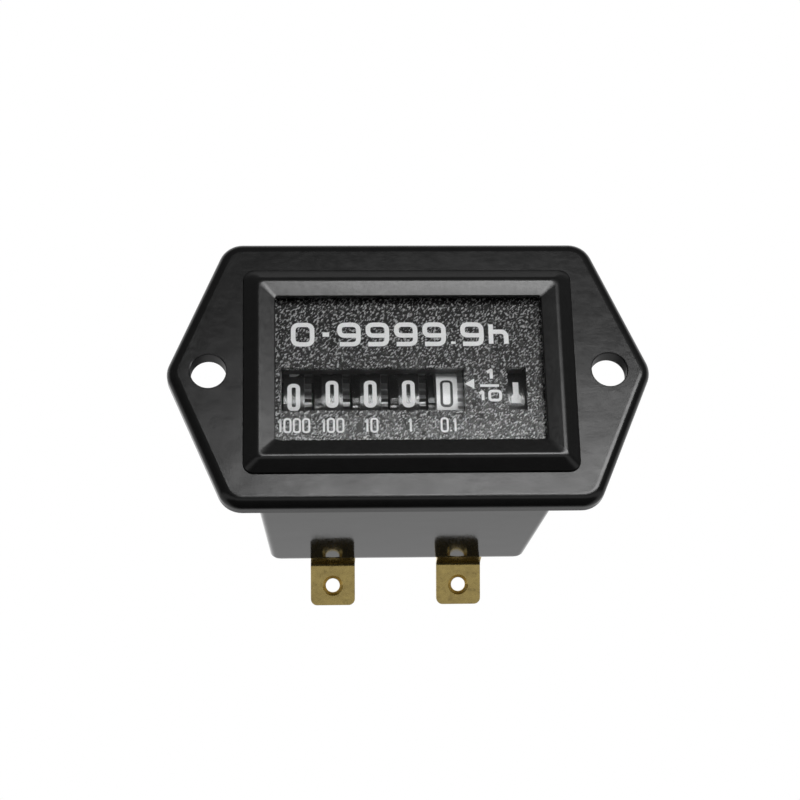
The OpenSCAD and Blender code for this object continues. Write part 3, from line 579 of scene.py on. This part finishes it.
def build_hoods(material):
    """Hoods behind the dial that cover the next row of figures."""
    top = AXIS_Z + WINDOW_HALF_H
    back = AXIS_Y - math.sqrt(RIM_R ** 2 - WINDOW_HALF_H ** 2) - HOOD_GAP
    counter = (wheel_middle(WHEELS[0]) - RIM_W / 2, wheel_middle(WHEELS[4]) + RIM_W / 2)
    mesh = bmesh.new()
    for x0, x1 in (counter, (DRUM_X - RUN_HOOD_HALF_W, DRUM_X + RUN_HOOD_HALF_W)):
        low = Vector((x0, dial_high.y - HOOD_ROOT, top))
        high = Vector((x1, back, top + HOOD_T))
        place = Matrix.Translation((low + high) / 2) @ Matrix.Diagonal((high - low).to_4d())
        bmesh.ops.create_cube(mesh, size=1, matrix=place)
    bmesh.ops.bevel(mesh, geom=mesh.edges[:], offset=HOOD_EDGE, segments=2, profile=0.5, affect="EDGES")
    finish_piece(mesh, "window_hoods", material, "housing")


def build_mouldings():
    build_flange(flange_plastic())
    build_frame(frame_plastic())
    dress(dial_black(), "dial_plate")
    build_hoods(plastic("hood_black", grey(0.002), grey(0.005), 0.5))


# Printed figures

# Largest share of a side that one corner's arc takes, so that two arcs never meet in one point
MOST_OF_HALF = 0.47
CORNER_STEPS = 6


def rounded(points, radius, closed):
    """A line through corner points, with each corner turned into an arc of up to the radius."""
    count = len(points)
    line = []
    for i, corner in enumerate(points):
        if not closed and i in (0, count - 1):
            line.append(corner)
            continue
        back = points[i - 1] - corner
        ahead = points[(i + 1) % count] - corner
        half = back.angle(ahead) / 2
        reach = min(radius / math.tan(half), back.length * MOST_OF_HALF, ahead.length * MOST_OF_HALF)
        start = corner + back.normalized() * reach
        end = corner + ahead.normalized() * reach
        line += bend(start, corner, end, CORNER_STEPS)
    return line


# Corner points of each figure's strokes, in a box from 0,0 to 1,1. CLOSED marks a loop, and MEETS_START and
# MEETS_END mark an end that stops at the edge of another stroke
CLOSED = "closed"
MEETS_START = "meets start"
MEETS_END = "meets end"
GLYPHS = {
    "0": [([(0, 0), (1, 0), (1, 1), (0, 1)], (CLOSED,))],
    "1": [([(0, 0.72), (0.7, 1), (0.7, 0)], ())],
    "2": [([(0, 0.78), (0, 1), (1, 1), (1, 0.5), (0, 0.5), (0, 0), (1, 0)], ())],
    "3": [([(0, 1), (1, 1), (1, 0), (0, 0)], ()), ([(0.3, 0.52), (1, 0.52)], (MEETS_END,))],
    "4": [([(0.75, 0), (0.75, 1), (0, 0.3), (0.75, 0.3)], (MEETS_END,)),
          ([(0.75, 0.3), (1.2, 0.3)], (MEETS_START,))],
    "5": [([(1, 1), (0, 1), (0, 0.56), (1, 0.56), (1, 0), (0, 0)], ())],
    "6": [([(1, 1), (0, 1), (0, 0), (1, 0), (1, 0.56), (0, 0.56)], (MEETS_END,))],
    "7": [([(0, 1), (1, 1), (0.35, 0)], ())],
    "8": [([(0, 0), (1, 0), (1, 1), (0, 1)], (CLOSED,)),
          ([(0, 0.52), (1, 0.52)], (MEETS_START, MEETS_END))],
    "9": [([(0, 0), (1, 0), (1, 1), (0, 1), (0, 0.44), (1, 0.44)], (MEETS_END,))],
    "-": [([(0.1, 0.5), (0.9, 0.5)], ())],
    ".": [([(0.5, 0), (0.5, 0.12)], ())],
    "h": [([(0, 1), (0, 0)], ()), ([(0, 0.62), (1, 0.62), (1, 0)], (MEETS_START,))],
}
WIDTH_SHARE = {"1": 0.55, "-": 0.55, ".": 0.2, "h": 0.85}


def finer(line, step, closed):
    """The same line with points no further apart than a step."""
    ends = line[1:] + line[:1] if closed else line[1:]
    out = []
    for a, b in zip(line, ends):
        parts = max(1, math.ceil((b - a).length / step))
        out += [a + (b - a) * k / parts for k in range(parts)]
    return out if closed else out + [line[-1]]


def ribbon(line, width, closed):
    """Left and right edges of a stroke along a line, mitred at its corners."""
    count = len(line)
    edges = []
    for i, point in enumerate(line):
        before = line[i - 1] if closed or i else None
        after = line[(i + 1) % count] if closed or i < count - 1 else None
        one = (point - before).normalized() if before is not None else None
        two = (after - point).normalized() if after is not None else None
        one = one if one is not None else two
        two = two if two is not None else one
        side = Vector((-one.y, one.x)) + Vector((-two.y, two.x))
        side.normalize()
        reach = width / 2 / max(0.5, side.dot(Vector((-one.y, one.x))))
        edges.append((point + side * reach, point - side * reach))
    return edges


INK_T = 0.02 * MM
STEP = 0.25 * MM


def extrude_strip(mesh, edges, closed, to_space):
    """Adds a closed solid over a ribbon; to_space turns a flat point and a height into a place."""
    rows = []
    for left, right in edges:
        rows.append([mesh.verts.new(to_space(p, h)) for p, h in
                     ((left, 0), (right, 0), (right, INK_T), (left, INK_T))])
    pairs = list(zip(rows, rows[1:] + rows[:1] if closed else rows[1:]))
    for a, b in pairs:
        for k in range(4):
            mesh.faces.new((a[k], a[(k + 1) % 4], b[(k + 1) % 4], b[k]))
    if not closed:
        mesh.faces.new(rows[0][::-1])
        mesh.faces.new(rows[-1])


def stop_short(end, inner, gap):
    """Moves a stroke's end back along the stroke by a gap."""
    return end + (inner - end).normalized() * gap


def write_glyph(mesh, char, middle, size, stroke, corner, to_space):
    """Draws one figure about a middle point, with its outer size given."""
    inner = Vector((size[0] - stroke, size[1] - stroke))
    for corners, marks in GLYPHS[char]:
        points = [middle + Vector(((x - 0.5) * inner.x, (y - 0.5) * inner.y)) for x, y in corners]
        closed = CLOSED in marks
        if MEETS_START in marks:
            points[0] = stop_short(points[0], points[1], stroke / 2)
        if MEETS_END in marks:
            points[-1] = stop_short(points[-1], points[-2], stroke / 2)
        line = finer(rounded(points, corner, closed), STEP, closed)
        extrude_strip(mesh, ribbon(line, stroke, closed), closed, to_space)


def write_line(mesh, text, middle, height, width, stroke, corner, gap, to_space):
    """Draws a row of figures about its middle point."""
    widths = [width * WIDTH_SHARE.get(c, 1.0) for c in text]
    x = middle.x - (sum(widths) + gap * (len(text) - 1)) / 2
    for char, w in zip(text, widths):
        write_glyph(mesh, char, Vector((x + w / 2, middle.y)), (w, height), stroke, corner, to_space)
        x += w + gap


def fill_outline(mesh, outline, to_space):
    """Adds a closed solid over a flat outline."""
    low = [mesh.verts.new(to_space(p, 0)) for p in outline]
    high = [mesh.verts.new(to_space(p, INK_T)) for p in outline]
    mesh.faces.new(low[::-1])
    mesh.faces.new(high)
    for i in range(len(outline)):
        j = (i + 1) % len(outline)
        mesh.faces.new((low[i], low[j], high[j], high[i]))


def on_dial(point, height):
    return Vector((point.x, DIAL_FRONT - height, point.y))


def on_rim(point, height, start=0.0):
    """A flat point wrapped on the wheels' rims, upward from the front."""
    angle = point.y / RIM_R + start
    r = RIM_R + height
    return Vector((point.x, AXIS_Y - r * math.cos(angle), AXIS_Z + r * math.sin(angle)))


# Places of the dial's print, in millimetres across and up from the flange's centre
RANGE_MIDDLE = Vector((-1.1, 5.2)) * MM
PLACES_Z = -7.2 * MM
POINTER = ((6.93, -1.65), (8.15, -0.96), (8.15, -2.34))
ONE_MIDDLE = Vector((10.2, -0.36)) * MM
BAR = ((8.87, -1.91), (11.28, -1.91))
TEN_MIDDLE = Vector((10.1, -3.28)) * MM
BAR_W = 0.34 * MM
# Height, full width of a figure, stroke, corner radius and gap of each row of print
RANGE_SIZES = (3.3 * MM, 3.0 * MM, 0.6 * MM, 0.8 * MM, 0.62 * MM)
PLACES_SIZES = (2.0 * MM, 1.02 * MM, 0.25 * MM, 0.34 * MM, 0.15 * MM)
ONE_SIZES = (1.6 * MM, 2.1 * MM, 0.4 * MM, 0.04 * MM, 0)
TEN_SIZES = (1.6 * MM, 1.75 * MM, 0.36 * MM, 0.4 * MM, 0.3 * MM)


def print_dial(material):
    mesh = bmesh.new()
    write_line(mesh, "0-9999.9h", RANGE_MIDDLE, *RANGE_SIZES, on_dial)
    for name, text in zip(WHEELS, ("1000", "100", "10", "1", "0.1")):
        write_line(mesh, text, Vector((wheel_middle(name), PLACES_Z)), *PLACES_SIZES, on_dial)
    write_line(mesh, "1", ONE_MIDDLE, *ONE_SIZES, on_dial)
    write_line(mesh, "10", TEN_MIDDLE, *TEN_SIZES, on_dial)
    bar = [Vector(p) * MM for p in BAR]
    extrude_strip(mesh, ribbon(bar, BAR_W, False), False, on_dial)
    fill_outline(mesh, [Vector(p) * MM for p in POINTER], on_dial)
    finish_piece(mesh, "dial_print", material, "housing")


DIGITS = 10
DIGIT_SIZE = (1.62 * MM, 3.75 * MM)
DIGIT_CORNER = 0.5 * MM
DIGIT_RISE = 0.17 * MM
WHITE_STROKE = 0.55 * MM
BLACK_STROKE = 0.34 * MM
OFF_STEP = {"thousands_wheel": math.radians(-3.2)}


def print_wheel(name, material, stroke):
    mesh = bmesh.new()
    x = wheel_middle(name)
    for k in range(DIGITS):
        start = OFF_STEP.get(name, 0.0) - math.radians(360 / DIGITS * k)
        write_glyph(mesh, str(k), Vector((x, DIGIT_RISE)), DIGIT_SIZE, stroke, DIGIT_CORNER,
                    lambda p, h, start=start: on_rim(p, h, start))
    finish_piece(mesh, name.replace("wheel", "figures"), material, name)


RUN_MARKS = 6
# Height and half width along a run mark, from its foot up, in millimetres
RUN_MARK = ((-1.2, 0.6), (-0.35, 0.6), (0.0, 0.36), (1.67, 0.36))


def run_mark_edges():
    """Left and right edges of a run mark in short rows, so that it follows the drum."""
    edges = []
    for (z0, w0), (z1, w1) in zip(RUN_MARK, RUN_MARK[1:]):
        rows = math.ceil((z1 - z0) * MM / STEP)
        for k in range(rows + 1):
            z = z0 + (z1 - z0) * k / rows
            w = w0 + (w1 - w0) * k / rows
            if not edges or z * MM > edges[-1][0].y:
                edges.append((Vector((DRUM_X - w * MM, z * MM)), Vector((DRUM_X + w * MM, z * MM))))
    return edges


def print_run_drum(material):
    mesh = bmesh.new()
    for k in range(RUN_MARKS):
        start = math.radians(360 / RUN_MARKS * k)
        extrude_strip(mesh, run_mark_edges(), False, lambda p, h, start=start: on_rim(p, h, start))
    finish_piece(mesh, "run_marks", material, "run_indicator")


def print_all():
    white = ink("print_white", grey(0.84), grey(0.93))
    black = ink("print_black", grey(0.008), grey(0.02))
    print_dial(white)
    for name in WHEELS[:4]:
        print_wheel(name, white, WHITE_STROKE)
    print_wheel(WHEELS[4], black, BLACK_STROKE)
    print_run_drum(white)


# Light

def make_lamp(name, centre, size, radiance):
    """A rectangular soft lamp that faces the object, of a radiance where white is 1."""
    data = bpy.data.lights.new(name, "AREA")
    data.shape = "RECTANGLE"
    data.size, data.size_y = size
    data.energy = radiance * math.pi * size[0] * size[1]
    lamp = bpy.data.objects.new(name, data)
    lamp.location = centre
    lamp.rotation_euler = (math.radians(90), 0, 0)
    lamp.visible_camera = False
    bpy.context.scene.collection.objects.link(lamp)


# Radiance of the surroundings where white is 1
FRONT_HIGH = 0.1
FRONT_LOW = 0.02
FRONT_TABLE = 0.56
BEHIND = 1.0
BEHIND_LOW = 0.62
BELOW = 0.03
# Ranges of a direction's rise, or of its way to the back, over which the surroundings change
HORIZON = (-0.1, 0.2)
TABLE_NEAR = (-0.6, -0.5)
TABLE_FAR = (-0.25, -0.15)
DARK_BELOW = (-0.85, -0.6)
FRONT_TO_BACK = (-0.05, 0.3)


def make_world():
    """White behind the object and to the eye, dim in front of it but for a table's band, dark below."""
    world = bpy.data.worlds.new("studio")
    bpy.context.scene.world = world
    world.use_nodes = True
    tree = world.node_tree
    direction = add_node(tree, "TexCoord").outputs["Generated"]
    parts = add_node(tree, "SeparateXYZ", {0: direction}).outputs
    dim = map_range(tree, parts["Z"], FRONT_LOW, FRONT_HIGH, *HORIZON)
    table_near = map_range(tree, parts["Z"], 0, FRONT_TABLE, *TABLE_NEAR)
    table_far = map_range(tree, parts["Z"], FRONT_TABLE, 0, *TABLE_FAR)
    front = combine(tree, "ADD", dim, combine(tree, "MINIMUM", table_near, table_far))
    bright = map_range(tree, parts["Z"], BEHIND_LOW, BEHIND, *HORIZON)
    shade = map_range(tree, parts["Z"], BELOW, 1, *DARK_BELOW)
    behind = combine(tree, "MULTIPLY", bright, shade)
    share = map_range(tree, parts["Y"], 0, 1, *FRONT_TO_BACK)
    level = add_node(tree, "Mix", {0: share, 2: front, 3: behind}).outputs[0]
    eye = add_node(tree, "LightPath").outputs["Is Camera Ray"]
    strength = combine(tree, "MAXIMUM", level, eye)
    background = tree.nodes["Background"]
    background.inputs["Color"].default_value = (1, 1, 1, 1)
    tree.links.new(strength, background.inputs["Strength"])


KEY_CENTRE = (0.205, -0.56, 0.115)
KEY_SIZE = (0.47, 0.15)
KEY_RADIANCE = 12.0


def light():
    make_world()
    make_lamp("key", KEY_CENTRE, KEY_SIZE, KEY_RADIANCE)
    bpy.context.scene.view_settings.view_transform = "Standard"


make_camera()
dress_nodes()
build_mouldings()
print_all()
light()
